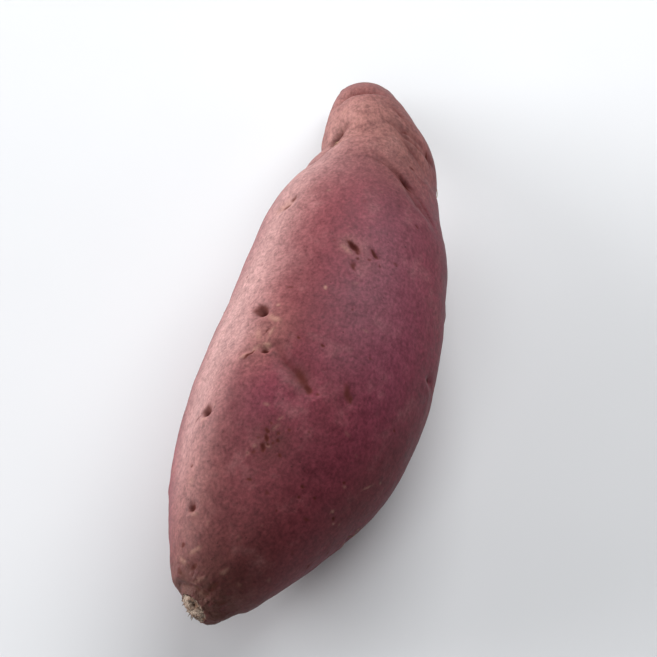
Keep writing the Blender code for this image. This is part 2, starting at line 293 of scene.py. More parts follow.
# Low waves of the skin: wavelength and height
WAVES = ((9.0 * MM, 0.16 * MM), (3.2 * MM, 0.07 * MM), (1.5 * MM, 0.025 * MM))
RINGS_WAVELENGTH = 1.7 * MM  # of the shallow rings round the thin end
RINGS_HEIGHT = 0.09 * MM
RINGS_STRETCH = 9 * MM  # their wavelength round the root
THIN_END = 18 * MM  # half width at which most of the rings have faded

# The broken ends, from the middle outwards: distances and heights over the end's rim
SCAR_PROFILE = ((0.0, 0.9), (1.5, 0.9), (2.7, 0.6), (3.7, 0.0), (4.2, 0.0))
TAIL_PROFILE = ((0.0, -0.3), (1.1, -0.3), (1.6, 0.0), (2.2, 0.0))
RAGGEDNESS = 0.5 * MM
BROKEN_SHARE = 0.93  # of an end's radius that shows broken wood
HOLLOW_PLACE = 1.9 * MM  # of the hollow in the scar, from its middle towards the top
HOLLOW_BREADTH = 0.9 * MM
HOLLOW_DEPTH = 1.1 * MM
BARK_REACH = 7 * MM  # how far the rough skin round the scar reaches
BARK_HEIGHT = 0.3 * MM
BARK_WAVELENGTH = 1.6 * MM
AT_END = 0.1 * MM  # a place this near the end of the spine is on the broken end

# Net of the skin
NET_LAYERS = ("along", "cosine", "sine", "share")
SEGMENTS = 56
LEAST_STEP = 0.5 * MM  # from ring to ring
STEP_SHARE = 0.115  # of the half width, added to it
SCAR_RINGS = 5
TAIL_RINGS = 3
BODY_EDGE = 1.05 * MM  # longest edge on the plain body
NECK_EDGE = 0.72 * MM
NECK_START = 117 * MM
EYE_EDGE = 0.48 * MM  # in and round the eyes and the folds
MARK_EDGE = 0.36 * MM
END_EDGE = 0.33 * MM
FINE_END = 3 * MM  # how far the ends' fine net reaches
ROUNDS = 5  # of halving the long edges
EYE_REACH = 1.8  # of an eye's half length, within which the net is fine
FOLD_REACH = 1.2  # of a fold's half breadth
MARK_REACH = 1.5  # of a mark's half length and half breadth
MARK_MARGIN = 0.3  # mm round a mark
SPARE = 1.25  # an edge this much over its limit is halved

# Tints, each a soft patch: along, around, reach along, reach across, strength
TAN_PATCHES = (
    (64, 48, 30, 14, 0.45),
    (63, 24, 9, 5, 0.5),
    (22, 42, 18, 8, 0.5),
    (108, 44, 9, 6, 0.5),
    (94.5, -2, 2.5, 2.5, 0.4),
    (26, -8, 16, 16, 0.1),
    (136, 52, 14, 12, 0.5),
    (146, 34, 14, 12, 0.33),
    (138, -8, 16, 14, 0.3),
    (132, -36, 14, 12, 0.4),
    (50, 150, 26, 12, 0.5),
    (100, -140, 22, 12, 0.45),
    (30, -150, 16, 10, 0.4),
    (84, 104, 20, 8, 0.4),
    (150, 160, 26, 20, 0.5),
)
BLUSH_PATCHES = (
    (72, -34, 32, 17, 0.9),
    (98, -20, 20, 12, 0.5),
    (48, 10, 10, 12, 0.4),
    (60, 172, 30, 16, 0.6),
    (112, -100, 20, 12, 0.5),
)
RED_PATCHES = (
    (108, 12, 16, 12, 0.6),
    (50, -22, 12, 10, 0.7),
    (20, -30, 12, 12, 0.7),
    (70, 8, 12, 8, 0.3),
    (90, -160, 20, 14, 0.6),
)
# Brown patches. Those near the stem end and on the lower right are partly brown skin and partly painted shade
# where the root faces away from the lights
BROWN_AND_SHADE_PATCHES = (
    (14, -8, 14, 22, 0.4),
    (8, -30, 10, 20, 0.55),
    (38, -4, 6, 6, 0.6),
    # Along the groove: painted shade
    (55, -2, 4, 3, 0.6),
    (92, -11, 4.5, 4, 0.35),
    (84, 13, 22, 8, 0.22),
    (130, -30, 12, 9, 0.25),
    (144, 12, 12, 15, 0.32),
    (40, -74, 20, 9, 0.5),
    (66, 14, 7, 5, 0.3),
    (26, 170, 24, 18, 0.6),
)
# Pale patches: mostly painted highlight, the broad gloss band down the left flank that faces the window
# light, and a painted sheen right of the middle of the front; a few are pale skin
PALE_AND_HIGHLIGHT_PATCHES = (
    (38, 58, 20, 8, 0.7),
    (66, 58, 20, 10, 0.8),
    (96, 52, 24, 11, 0.8),
    (124, 52, 16, 8, 0.5),
    (148, 44, 10, 8, 0.2),
    (62, 38, 9, 4, 0.35),
    (86, -24, 26, 13, 0.17),
    (120, 26, 12, 10, 0.2),
    (74, 150, 20, 10, 0.4),
)
SCAB_PATCHES = ((39, -4, 4.0, 3.6, 0.35), (92, 168, 4.5, 3.0, 0.8))
TAIL_REACH = 9 * MM  # of the tail's own tint
NECK_TINT_START = 122 * MM
NECK_TINT_RUN = 20 * MM
NECK_TAN = 0.2
TAIL_TAN = 0.3
TAIL_OLIVE = 0.3

# Colours as seen, from 0 to 255
RED = (120, 50, 60)
DUSKY = (106, 48, 56)
ROSE = (124, 52, 62)
MAGENTA = (124, 54, 78)
BROWN = (86, 44, 40)
TAN = (151, 103, 96)
# Pale skin, and the painted highlight that the pale patches lay on
PALE_AND_HIGHLIGHT = (176, 136, 133)
CORK = (180, 136, 120)
DARK = (66, 18, 14)
# The soft edges of the dark marks: partly dark skin, partly painted shade in the eyes' hollows and the groove
PIT = (88, 36, 29)
# Painted shade in the folds and creases
CREASE_SHADE = (88, 34, 32)
MAROON = (82, 24, 36)
SCAB = (50, 30, 30)
OLIVE = (86, 61, 50)
STRAW = (170, 151, 136)
HEARTWOOD = (112, 84, 68)
# Painted shade in the scar's hollow
HOLLOW_SHADE = (58, 38, 28)
HAIR = (180, 150, 118)
FLOOR = (228, 230, 233)

# The photograph's view of the root: the camera's height over the horizon, and how far the root's axis is
# turned from upright in the picture, towards the right.
VIEW_ELEVATION = math.radians(60)
AXIS_TURN = math.radians(15)
VIEW_DISTANCE = 1.0
VIEW_WIDTH = 0.165  # of the view at that distance
SENSOR = 36.0


# Form

def stations():
    """The stations in metres, and the distance of each along the spine."""
    rows = np.array(STATIONS) * (LENGTH, HALF_WIDTH, HALF_WIDTH, HALF_WIDTH)
    chords = np.linalg.norm(np.diff(rows[:, :3], axis=0), axis=1)
    return rows, np.concatenate([[0.0], np.cumsum(chords)])


def along_spine(at):
    """Points of the spine and half widths of its sections, at the given distances along it."""
    rows, knots = stations()
    slopes = np.gradient(rows, knots, axis=0)
    at = np.clip(at, 0.0, knots[-1])
    low = np.clip(np.searchsorted(knots, at, side="right") - 1, 0, len(knots) - 2)
    span = (knots[low + 1] - knots[low])[:, None]
    u = (at - knots[low])[:, None] / span
    found = (
        (2 * u**3 - 3 * u**2 + 1) * rows[low]
        + (u**3 - 2 * u**2 + u) * span * slopes[low]
        + (3 * u**2 - 2 * u**3) * rows[low + 1]
        + (u**3 - u**2) * span * slopes[low + 1]
    )
    return found[:, :3], found[:, 3]


SPINE_LENGTH = float(stations()[1][-1])


def places_at(along, around, share=None):
    """Places on the skin as arrays. share is 1 on the skin and falls to 0 at the middle of an end."""
    along, around = np.asarray(along, float), np.asarray(around, float)
    share = np.ones(len(along)) if share is None else np.asarray(share, float)
    centre, half_width = along_spine(along)
    places = SimpleNamespace(
        along=along, around=around, share=share, centre=centre, half_width=half_width
    )
    places.warp = warp_of(straight_place(places) * MM / WARP_WAVELENGTH)
    return places


def warp_of(points):
    """A steady waver at each point, from -1 to 1 in two directions."""
    pairs = zip(points, points + WARP_APART)
    return np.array([(noise.noise(point), noise.noise(other)) for point, other in pairs])


def straight_place(places):
    """Where each place would be, in millimetres, if the root were straight. Patterns follow its bend so."""
    radius = places.half_width * places.share
    return np.stack(
        [places.along, radius * np.sin(places.around), radius * np.cos(places.around)], axis=1
    ) / MM


def from_mark(places, mark_along, mark_around, turn=0.0):
    """Distances on the skin from a mark: along the root and across it, in the mark's own turn."""
    ahead = places.along - mark_along * MM
    angle = (places.around - math.radians(mark_around) + math.pi) % math.tau - math.pi
    across = places.half_width * angle
    cosine, sine = math.cos(math.radians(turn)), math.sin(math.radians(turn))
    return ahead * cosine + across * sine, across * cosine - ahead * sine


def from_eye(places, eye):
    """Distances from an eye as shares of its half breadth and half length."""
    mark_along, mark_around, half_length, half_breadth, _, turn = eye
    ahead, across = from_mark(places, mark_along, mark_around, turn)
    return ahead / (half_breadth * MM), across / (half_length * MM)


def mark_shape(places, mark):
    """How far each place lies in a mark with wavering edges, from 0 to 1."""
    mark_along, mark_around, half_length, half_breadth, turn = mark[:5]
    ahead, across = from_mark(places, mark_along, mark_around, turn)
    waver = places.warp * min(WARP_SHARE * half_breadth * MM, MOST_WARP)
    ahead = (ahead + waver[:, 0]) / (half_breadth * MM)
    across = (across + waver[:, 1]) / (half_length * MM)
    return np.exp(-((ahead**2 + across**2) ** 1.5))


def near_mark(places, mark):
    """The numbers of the places that are about as far along the root as the mark."""
    reach = 3 * max(mark[2], mark[3]) * MM
    return np.flatnonzero(np.abs(places.along - mark[0] * MM) < reach)


def some_of(places, numbers):
    return SimpleNamespace(**{name: values[numbers] for name, values in vars(places).items()})


def marks_cover(places, marks):
    """The strongest of the marks at each place, and the sum of their heights in metres."""
    cover, height = np.zeros(len(places.along)), np.zeros(len(places.along))
    for mark in marks:
        near = near_mark(places, mark)
        shape = mark_shape(some_of(places, near), mark)
        cover[near] = np.maximum(cover[near], mark[5] * shape)
        height[near] += mark[6] * MM * shape
    return cover, height


def patches(places, table):
    """The sum of soft patches at each place."""
    total = np.zeros(len(places.along))
    for mark_along, mark_around, reach, breadth, strength in table:
        ahead, across = from_mark(places, mark_along, mark_around)
        total += strength * np.exp(-((ahead / (reach * MM)) ** 2) - (across / (breadth * MM)) ** 2)
    return total


def eye_height(places):
    height = np.zeros(len(places.along))
    for eye in EYES:
        ahead, across = from_eye(places, eye)
        pit = np.exp(-(ahead**2) - across**2)
        lip = np.exp(-((ahead + LIP_PLACE) ** 2) - (across / LIP_LENGTH) ** 2)
        height += eye[4] * MM * (LIP_HEIGHT * lip - pit)
    return height


def fold_distance(places, fold):
    """Distance on the skin from a fold, and how far along the fold from 0 to 1 its nearest point lies."""
    nearest, share = np.full(len(places.along), np.inf), np.zeros(len(places.along))
    for number, (start, end) in enumerate(zip(fold, fold[1:])):
        ahead, across = from_mark(places, *start)
        half_width = along_spine(np.array([start[0] * MM]))[1][0]
        turned = (end[1] - start[1] + 180) % 360 - 180
        run = np.array([(end[0] - start[0]) * MM, half_width * math.radians(turned)])
        u = np.clip((ahead * run[0] + across * run[1]) / (run @ run), 0.0, 1.0)
        distance = np.hypot(ahead - u * run[0], across - u * run[1])
        share = np.where(distance < nearest, (number + u) / (len(fold) - 1), share)
        nearest = np.minimum(nearest, distance)
    return nearest, share


def fold_depths(places, folds):
    """How deep each place lies in the folds, as a share of the fold's depth, and in metres."""
    share_in, depth_in = np.zeros(len(places.along)), np.zeros(len(places.along))
    for half_breadth, depth, fold in folds:
        distance, share = fold_distance(places, fold)
        fading = np.sin(math.pi * np.clip(share, 0.0, 1.0)) ** 0.7
        inside = fading * np.exp(-((distance / (half_breadth * MM)) ** 2))
        share_in = np.maximum(share_in, inside)
        depth_in += depth * MM * inside
    return share_in, depth_in


def pucker_height(places):
    height = np.zeros(len(places.along))
    for from_end in (places.along, SPINE_LENGTH - places.along):
        nearness = np.exp(-((from_end / PUCKER_REACH) ** 2)) * np.clip(from_end / MM, 0.0, 1.0)
        lean = PUCKER_TWIST * from_end / PUCKER_REACH
        height -= PUCKER_DEPTH * nearness * np.cos(PUCKERS * (places.around + lean))
    return height


def waves_of(points, octaves=2):
    return np.array([noise.fractal(point, 1.0, 2.0, octaves) for point in points])


def wave_height(places):
    """Low waves over the whole skin, and shallow rings round the thin end."""
    straight = straight_place(places) * MM
    height = np.zeros(len(places.along))
    for wavelength, rise in WAVES:
        height += rise * waves_of(straight / wavelength)
    rings = straight * (1 / RINGS_WAVELENGTH, 1 / RINGS_STRETCH, 1 / RINGS_STRETCH)
    thinness = np.clip(1.3 - places.half_width / THIN_END, 0.08, 1.0)
    return height + RINGS_HEIGHT * thinness * waves_of(rings)


def wrinkles():
    """The fine wrinkles on the neck, in the same form as the folds."""
    found = []
    for number in range(WRINKLES):
        ends = tuple((along + number * WRINKLE_STEP, around) for along, around in WRINKLE_ENDS)
        found.append((WRINKLE_HALF_BREADTH, WRINKLE_DEPTH, ends))
    return tuple(found)


def eye_marks():
    """Dark slits and corky lips for the eyes that have none of their own in the tables."""
    darks, corks = [], []
    for along, around, half_length, half_breadth, _, turn in EYES[HAND_MARKED:]:
        darks.append((along, around, 0.75 * half_length, 0.38 * half_breadth, turn, 0.95, 0.25))
        lip = along - 1.4 * half_breadth
        corks.append((lip, around, 0.8 * half_length, 0.6 * half_breadth, turn, 0.7, 0.1))
    return tuple(darks), tuple(corks)


def least_gap(along, around, taken):
    """Distance on the skin from a place to the nearest of those taken."""
    half_width = along_spine(np.array([along]))[1][0]
    others = np.array(taken)
    turned = (around - others[:, 1] + math.pi) % math.tau - math.pi
    return np.hypot(along - others[:, 0], half_width * turned).min()


def scattered_marks():
    """Small dark specks and pale flecks all over the root, clear of each other and of the eyes."""
    rng = random.Random(MARKS_SEED)
    taken = [(mark[0] * MM, math.radians(mark[1])) for mark in EYES + DARK_MARKS + CORK_MARKS]
    specks, flecks = [], []
    while len(flecks) < FLECKS:
        along = rng.uniform(FROM_SCAR, SPINE_LENGTH - FROM_TAIL)
        around = rng.uniform(-math.pi, math.pi)
        if least_gap(along, around, taken) < SPACING:
            continue
        taken.append((along, around))
        size = rng.uniform(0.3, 0.75) ** 1.3
        length = size * rng.uniform(1.0, 1.8)
        shape = (along / MM, math.degrees(around), length, size * 0.8, rng.uniform(-30, 30))
        if len(specks) < SPECKS:
            specks.append(shape + (rng.uniform(0.2, 0.55), rng.uniform(0.02, 0.1)))
        else:
            flecks.append(shape + (rng.uniform(0.1, 0.35), rng.uniform(0.02, 0.05)))
    return tuple(specks), tuple(flecks)


EYE_DARKS, EYE_CORKS = eye_marks()
SCATTERED_SPECKS, SCATTERED_FLECKS = scattered_marks()
ALL_DARKS = DARK_MARKS + EYE_DARKS + SCATTERED_SPECKS
ALL_CORKS = CORK_MARKS + EYE_CORKS + SCATTERED_FLECKS
ALL_WRINKLES = CREASES + wrinkles()


def bark_height(places):
    """The rough skin round the stem scar."""
    straight = straight_place(places) * MM
    near = np.exp(-((places.along / BARK_REACH) ** 2))
    return BARK_HEIGHT * near * waves_of(straight * (1.0, 1.6, 1.6) / BARK_WAVELENGTH, 3)


def relief(places):
    """Height of the skin over the plain form."""
    height = patches(places, SWELLS) * MM + eye_height(places)
    height += marks_cover(places, ALL_CORKS)[1] - marks_cover(places, ALL_DARKS)[1]
    height -= fold_depths(places, FOLDS)[1] + fold_depths(places, ALL_WRINKLES)[1]
    return height + pucker_height(places) + wave_height(places) + bark_height(places)


def spine_axes(along):
    """The spine's direction at each place, and the directions to the left and up across it."""
    step = 0.5 * MM
    ahead = along_spine(along + step)[0] - along_spine(along - step)[0]
    ahead /= np.linalg.norm(ahead, axis=1)[:, None]
    left = np.cross([0.0, 0.0, 1.0], ahead)
    left /= np.linalg.norm(left, axis=1)[:, None]
    return ahead, left, np.cross(ahead, left)


def in_scar_hollow(places):
    """How far each place lies in the hollow of the stem scar, from 0 to 1. The hollow is darkened with
    painted shade.
    """
    radius = places.half_width * places.share
    up = radius * np.cos(places.around) - HOLLOW_PLACE
    side = radius * np.sin(places.around)
    inside = np.exp(-(up**2 + side**2) / HOLLOW_BREADTH**2)
    return inside * (places.along < AT_END)


def end_height(places):
    """How far each place on a broken end lies in front of the end's rim, towards the tail."""
    radius = places.half_width * places.share / MM
    at_scar, at_tail = places.along < AT_END, places.along > SPINE_LENGTH - AT_END
    ragged = RAGGEDNESS * waves_of(straight_place(places) * (1.0, 0.9, 0.9), 3)
    scar = np.interp(radius, *zip(*SCAR_PROFILE)) * MM + ragged
    scar -= HOLLOW_DEPTH * in_scar_hollow(places)
    tail = np.interp(radius, *zip(*TAIL_PROFILE)) * MM + ragged / 2
    return np.where(at_tail, tail, np.where(at_scar, -scar, 0.0))


def skin_points(places, lift=0.0):
    """Points of the skin, or of what lies that far above it."""
    ahead, left, up = spine_axes(places.along)
    sine, cosine = np.sin(places.around), np.cos(places.around)
    radius = places.half_width / np.sqrt(sine**2 + (cosine / ROUNDNESS) ** 2)
    radius = (radius + relief(places) + lift) * places.share
    out = up * cosine[:, None] + left * sine[:, None]
    return places.centre + radius[:, None] * out + end_height(places)[:, None] * ahead


# Net

class Net:
    """The skin's mesh, whose points keep their places on the skin while the net is made finer."""

    def __init__(self):
        self.bm = bmesh.new()
        self.layers = [self.bm.verts.layers.float.new(name) for name in NET_LAYERS]

    def add_point(self, along, angle, share):
        values = (along, math.cos(angle) * bool(share), math.sin(angle) * bool(share), share)
        vert = self.bm.verts.new(values[:3])
        for layer, value in zip(self.layers, values):
            vert[layer] = value
        return vert

    def add_rings(self):
        angles = np.arange(SEGMENTS) * math.tau / SEGMENTS
        rings = []
        for along, share in ring_places():
            rings.append([self.add_point(along, angle, share) for angle in angles])
        for lower, upper in zip(rings, rings[1:]):
            for i in range(SEGMENTS):
                j = (i + 1) % SEGMENTS
                self.bm.faces.new((lower[i], lower[j], upper[j], upper[i]))
        for ring, along in ((rings[0][::-1], 0.0), (rings[-1], SPINE_LENGTH)):
            middle = self.add_point(along, 0.0, 0.0)
            for i in range(SEGMENTS):
                self.bm.faces.new((ring[i], ring[(i + 1) % SEGMENTS], middle))
        bmesh.ops.triangulate(self.bm, faces=self.bm.faces)

    def places(self):
        values = np.array([[vert[layer] for layer in self.layers] for vert in self.bm.verts])
        return places_at(values[:, 0], np.arctan2(values[:, 2], values[:, 1]), values[:, 3])

    def refine(self):
        """Halves the edges that are too long for where they lie. Says how many they were."""
        places = self.places()
        points = plain_points(places)
        limit = edge_limit(places)
        self.bm.verts.index_update()
        ends = np.array([[vert.index for vert in edge.verts] for edge in self.bm.edges])
        lengths = np.linalg.norm(points[ends[:, 0]] - points[ends[:, 1]], axis=1)
        too_long = lengths > SPARE * limit[ends].mean(axis=1)
        edges = [edge for edge, long in zip(self.bm.edges, too_long) if long]
        bmesh.ops.subdivide_edges(self.bm, edges=edges, cuts=1, use_grid_fill=True)
        bmesh.ops.triangulate(self.bm, faces=self.bm.faces)
        return len(edges)


def ring_places():
    """Where the net's rings lie: along the spine, and out from the middle of each end."""
    places = [0.0]
    while places[-1] < SPINE_LENGTH:
        half_width = along_spine(np.array([places[-1]]))[1][0]
        places.append(places[-1] + LEAST_STEP + STEP_SHARE * half_width)
    skin = [(place * SPINE_LENGTH / places[-1], 1.0) for place in places]
    scar = [(0.0, (i + 1) / (SCAR_RINGS + 1)) for i in range(SCAR_RINGS)]
    tail = [(SPINE_LENGTH, 1 - (i + 1) / (TAIL_RINGS + 1)) for i in range(TAIL_RINGS)]
    return scar + skin + tail


def plain_points(places):
    """Points of the form without its relief, near enough for measuring edges."""
    _, left, up = spine_axes(places.along)
    out = up * np.cos(places.around)[:, None] + left * np.sin(places.around)[:, None]
    return places.centre + (places.half_width * places.share)[:, None] * out


def edge_limit(places):
    """How long the net's edges may be at each place: shorter near marks, on the neck and at the ends."""
    limit = np.where(places.along > NECK_START, NECK_EDGE, BODY_EDGE)
    for eye in EYES:
        limit[np.hypot(*from_mark(places, eye[0], eye[1])) < EYE_REACH * eye[2] * MM] = EYE_EDGE
    for half_breadth, _, fold in FOLDS + ALL_WRINKLES:
        limit[fold_distance(places, fold)[0] < FOLD_REACH * half_breadth * MM] = EYE_EDGE
    for mark in ALL_DARKS + ALL_CORKS:
        near = near_mark(places, mark)
        ahead, across = from_mark(some_of(places, near), mark[0], mark[1], mark[4])
        inside = np.abs(ahead) < (MARK_REACH * mark[3] + MARK_MARGIN) * MM
        inside &= np.abs(across) < (MARK_REACH * mark[2] + MARK_MARGIN) * MM
        limit[near[inside]] = MARK_EDGE
    near_end = np.minimum(places.along, SPINE_LENGTH - places.along) < FINE_END
    return np.where(near_end, END_EDGE, limit)


def skin_net():
    net = Net()
    net.add_rings()
    for _ in range(ROUNDS):
        if not net.refine():
            break
    return net


def settled(points):
    """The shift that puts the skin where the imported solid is."""
    low, high = points.min(axis=0), points.max(axis=0)
    box_low, box_high = np.array(CAD_LOW), np.array(CAD_HIGH)
    middle = (box_low + box_high) / 2 - (low + high) / 2
    return np.array([middle[0], middle[1], box_low[2] - low[2] - REST_CUT])


def skin_tints(places):
    """The named attributes that the skin's material reads, one value a point."""
    near_scar = np.exp(-((places.along / BARK_REACH) ** 2))
    near_tail = np.exp(-(((SPINE_LENGTH - places.along) / TAIL_REACH) ** 2))
    neck = np.clip((places.along - NECK_TINT_START) / NECK_TINT_RUN, 0.0, 1.0)
    # How deep the folds and creases lie, for their painted shade
    crease_shading = np.maximum(fold_depths(places, FOLDS)[0] ** 2, fold_depths(places, CREASES)[0])
    return {
        # The scar's hollow is darkened here too, as painted shade
        "dark": np.maximum(marks_cover(places, ALL_DARKS)[0], in_scar_hollow(places)),
        "cork": marks_cover(places, ALL_CORKS)[0],
        "crease_shade": crease_shading,
        "tan": patches(places, TAN_PATCHES) + NECK_TAN * neck + TAIL_TAN * near_tail,
        "blush": patches(places, BLUSH_PATCHES),
        "rose": patches(places, RED_PATCHES),
        "brown_and_shade": patches(places, BROWN_AND_SHADE_PATCHES),
        "scab": patches(places, SCAB_PATCHES),
        # pale skin and painted highlight
        "pale_and_highlight": patches(places, PALE_AND_HIGHLIGHT_PATCHES),
        "olive": near_scar + TAIL_OLIVE * near_tail,
        "broken": (places.share < BROKEN_SHARE).astype(float),
    }


def add_skin_map(mesh, places):
    """Unrolls the skin into a map: round the root in u, and from the scar's middle to the tail's in v."""
    end_radii = along_spine(np.array([0.0, SPINE_LENGTH]))[1]
    inward = (1 - places.share) * np.where(places.along < SPINE_LENGTH / 2, -end_radii[0], end_radii[1])
    v = (places.along + inward + end_radii[0]) / (SPINE_LENGTH + end_radii.sum())
    corners = np.empty(len(mesh.loops), np.int32)
    mesh.loops.foreach_get("vertex_index", corners)
    corners = corners.reshape(-1, 3)
    drawn = places.share[corners] > 0
    cosines = (np.cos(places.around[corners]) * drawn).sum(axis=1)
    sines = (np.sin(places.around[corners]) * drawn).sum(axis=1)
    middle = np.arctan2(sines, cosines)[:, None]
    off = (places.around[corners] - middle + math.pi) % math.tau - math.pi
    u = 0.5 + (middle + off * drawn) / math.tau
    layer = mesh.uv_layers.new(name="OFBake")
    pairs = np.stack([u, v[corners]], axis=2).clip(0.0, 1.0)
    layer.uv.foreach_set("vector", pairs.ravel().astype(np.float32))


def make_skin():
    net = skin_net()
    places = net.places()
    points = skin_points(places)
    shift = settled(points)
    points = points + shift
    points[:, 2] = np.maximum(points[:, 2], CAD_LOW[2])
    mesh = bpy.data.meshes.new("skin")
    net.bm.to_mesh(mesh)
    net.bm.free()
    mesh.vertices.foreach_set("co", points.astype(np.float32).ravel())
    for name in NET_LAYERS:
        mesh.attributes.remove(mesh.attributes[name])
    for name, values in skin_tints(places).items():
        attribute = mesh.attributes.new(name, "FLOAT", "POINT")
        attribute.data.foreach_set("value", values.astype(np.float32))
    straight = mesh.attributes.new("straight", "FLOAT_VECTOR", "POINT")
    straight.data.foreach_set("vector", straight_place(places).astype(np.float32).ravel())
    add_skin_map(mesh, places)
    mesh.shade_smooth()
    mesh.update()
    mesh.materials.append(skin_material())
    return new_object("skin", mesh), shift


# Root hairs and frayed fibres

def tube(bm, points, radii, sides=5):
    """A thin closed tube through the points."""
    rings = []
    for i, point in enumerate(points):
        ahead = (points[min(i + 1, len(points) - 1)] - points[max(i - 1, 0)]).normalized()
        turn = ahead.to_track_quat("Z", "Y")
        ring = []
        for side in range(sides):
            angle = math.tau * side / sides
            offset = Vector((math.cos(angle), math.sin(angle), 0.0)) * radii[i]
            ring.append(bm.verts.new(point + turn @ offset))
        rings.append(ring)
    for lower, upper in zip(rings, rings[1:]):
        for i in range(sides):
            j = (i + 1) % sides
            bm.faces.new((lower[i], lower[j], upper[j], upper[i]))
    bm.faces.new(rings[0][::-1])
    bm.faces.new(rings[-1])


def new_object(name, data):
    """Puts an object with the data into the scene."""
    made = bpy.data.objects.new(name, data)
    bpy.context.scene.collection.objects.link(made)
    return made


def finished_piece(name, bm, material):
    bmesh.ops.recalc_face_normals(bm, faces=bm.faces)
    mesh = bpy.data.meshes.new(name)
    bm.to_mesh(mesh)
    bm.free()
    mesh.shade_smooth()
    mesh.materials.append(material)
    return new_object(name, mesh)


# Rootlets: along and around where each starts, the way it runs in degrees from straight ahead, and its length
ROOTLETS = (
    (53.0, 108, 60, 9),
    (101.0, 150, -70, 12),
    (50.0, -140, 100, 10),
    (111.0, -128, 30, 8),
    (83.0, 96, -120, 7),
    (35.0, -104, 20, 6),
    (132.0, 160, 70, 9),
    (139.6, 46, 120, 3),
    (24.0, -148, 160, 6),
    (130.0, -96, -30, 7),
)
ROOTLETS_SEED = 5
ROOTLET_STEPS = 14
ROOTLET_RADIUS = 0.13 * MM
ROOTLET_TAPER = 0.75  # of the radius, lost towards the tip
ROOTLET_LIFT = 0.5 * MM  # of its middle from the skin
ROOTLET_DEPTH = 0.4 * MM  # of its start under the skin
ROOTLET_CURLS = 5  # radians of its wave along the hair


def rootlet_points(rng, start, way, length, shift):
    """A hair that leaves its eye and runs along the skin, curling and lifting a little."""
    along, around = start[0] * MM, math.radians(start[1])
    heading = math.radians(way)
    curl = rng.uniform(-1.2, 1.2)
    step = length * MM / ROOTLET_STEPS
    alongs, arounds, lifts = [], [], []
    for number in range(ROOTLET_STEPS + 1):
        share = number / ROOTLET_STEPS
        alongs.append(along)
        arounds.append(around)
        arch = math.sin(math.pi * min(1.0, share * 1.4)) ** 2
        lifts.append(ROOTLET_RADIUS + ROOTLET_LIFT * arch)
        half_width = along_spine(np.array([along]))[1][0]
        turned = heading + curl * math.sin(ROOTLET_CURLS * share)
        along += step * math.cos(turned)
        around += step * math.sin(turned) / half_width
    lifts[0] = -ROOTLET_DEPTH
    points = skin_points(places_at(alongs, arounds), np.array(lifts)) + shift
    return [Vector(point) for point in points]


def make_rootlets(shift):
    rng = random.Random(ROOTLETS_SEED)
    bm = bmesh.new()
    for along, around, way, length in ROOTLETS:
        points = rootlet_points(rng, (along, around), way, length, shift)
        radii = [ROOTLET_RADIUS * (1 - ROOTLET_TAPER * i / ROOTLET_STEPS) for i in range(len(points))]
        tube(bm, points, radii)
    return finished_piece("rootlets", bm, hair_material("rootlets", HAIR))


FIBRES = 60
FIBRES_SEED = 9
TAIL_FIBRES = 4  # one fibre in so many is at the tail
FIBRE_RADIUS = 0.11 * MM
FIBRE_DEPTH = 0.3 * MM  # of its root under the broken face
FIBRE_BEND = 0.25  # of its length
TAIL_FIBRE_LENGTH = 0.6  # of a strand at the scar


def make_scar_fibres(shift):
    """Frayed strands round the rim of the stem scar and the tail's end."""
    rng = random.Random(FIBRES_SEED)
    bm = bmesh.new()
    for number in range(FIBRES):
        at_tail = number % TAIL_FIBRES == 0
        along = SPINE_LENGTH if at_tail else 0.0
        away = 1 if at_tail else -1
        around = rng.uniform(-math.pi, math.pi)
        root = places_at([along], [around], [rng.uniform(0.55, 0.97)])
        ahead, left, up = (axis[0] for axis in spine_axes(root.along))
        out = Vector(up * math.cos(around) + left * math.sin(around))
        side = Vector(np.cross(ahead, out))
        start = Vector(skin_points(root)[0] + shift) - Vector(ahead) * away * FIBRE_DEPTH
        length = rng.uniform(0.5, 1.5) * MM * (TAIL_FIBRE_LENGTH if at_tail else 1.0)
        heading = Vector(ahead) * away + out * rng.uniform(-0.5, 0.5) + side * rng.uniform(-0.6, 0.6)
        heading.normalize()
        bend = (out * rng.uniform(-1, 1) + side * rng.uniform(-1, 1)) * FIBRE_BEND
        points = [start + (heading + bend * u) * length * u for u in (0.0, 0.35, 0.7, 1.0)]
        tube(bm, points, [FIBRE_RADIUS * share for share in (1.0, 0.9, 0.7, 0.35)], sides=4)
    return finished_piece("scar_fibres", bm, hair_material("scar_fibres", STRAW))


# Materials

def linear(colour):
    """A colour as seen, from 0 to 255, as the linear values that shaders take."""
    shares = [value / 255 for value in colour]
    return [s / 12.92 if s <= 0.04045 else ((s + 0.055) / 1.055) ** 2.4 for s in shares] + [1.0]


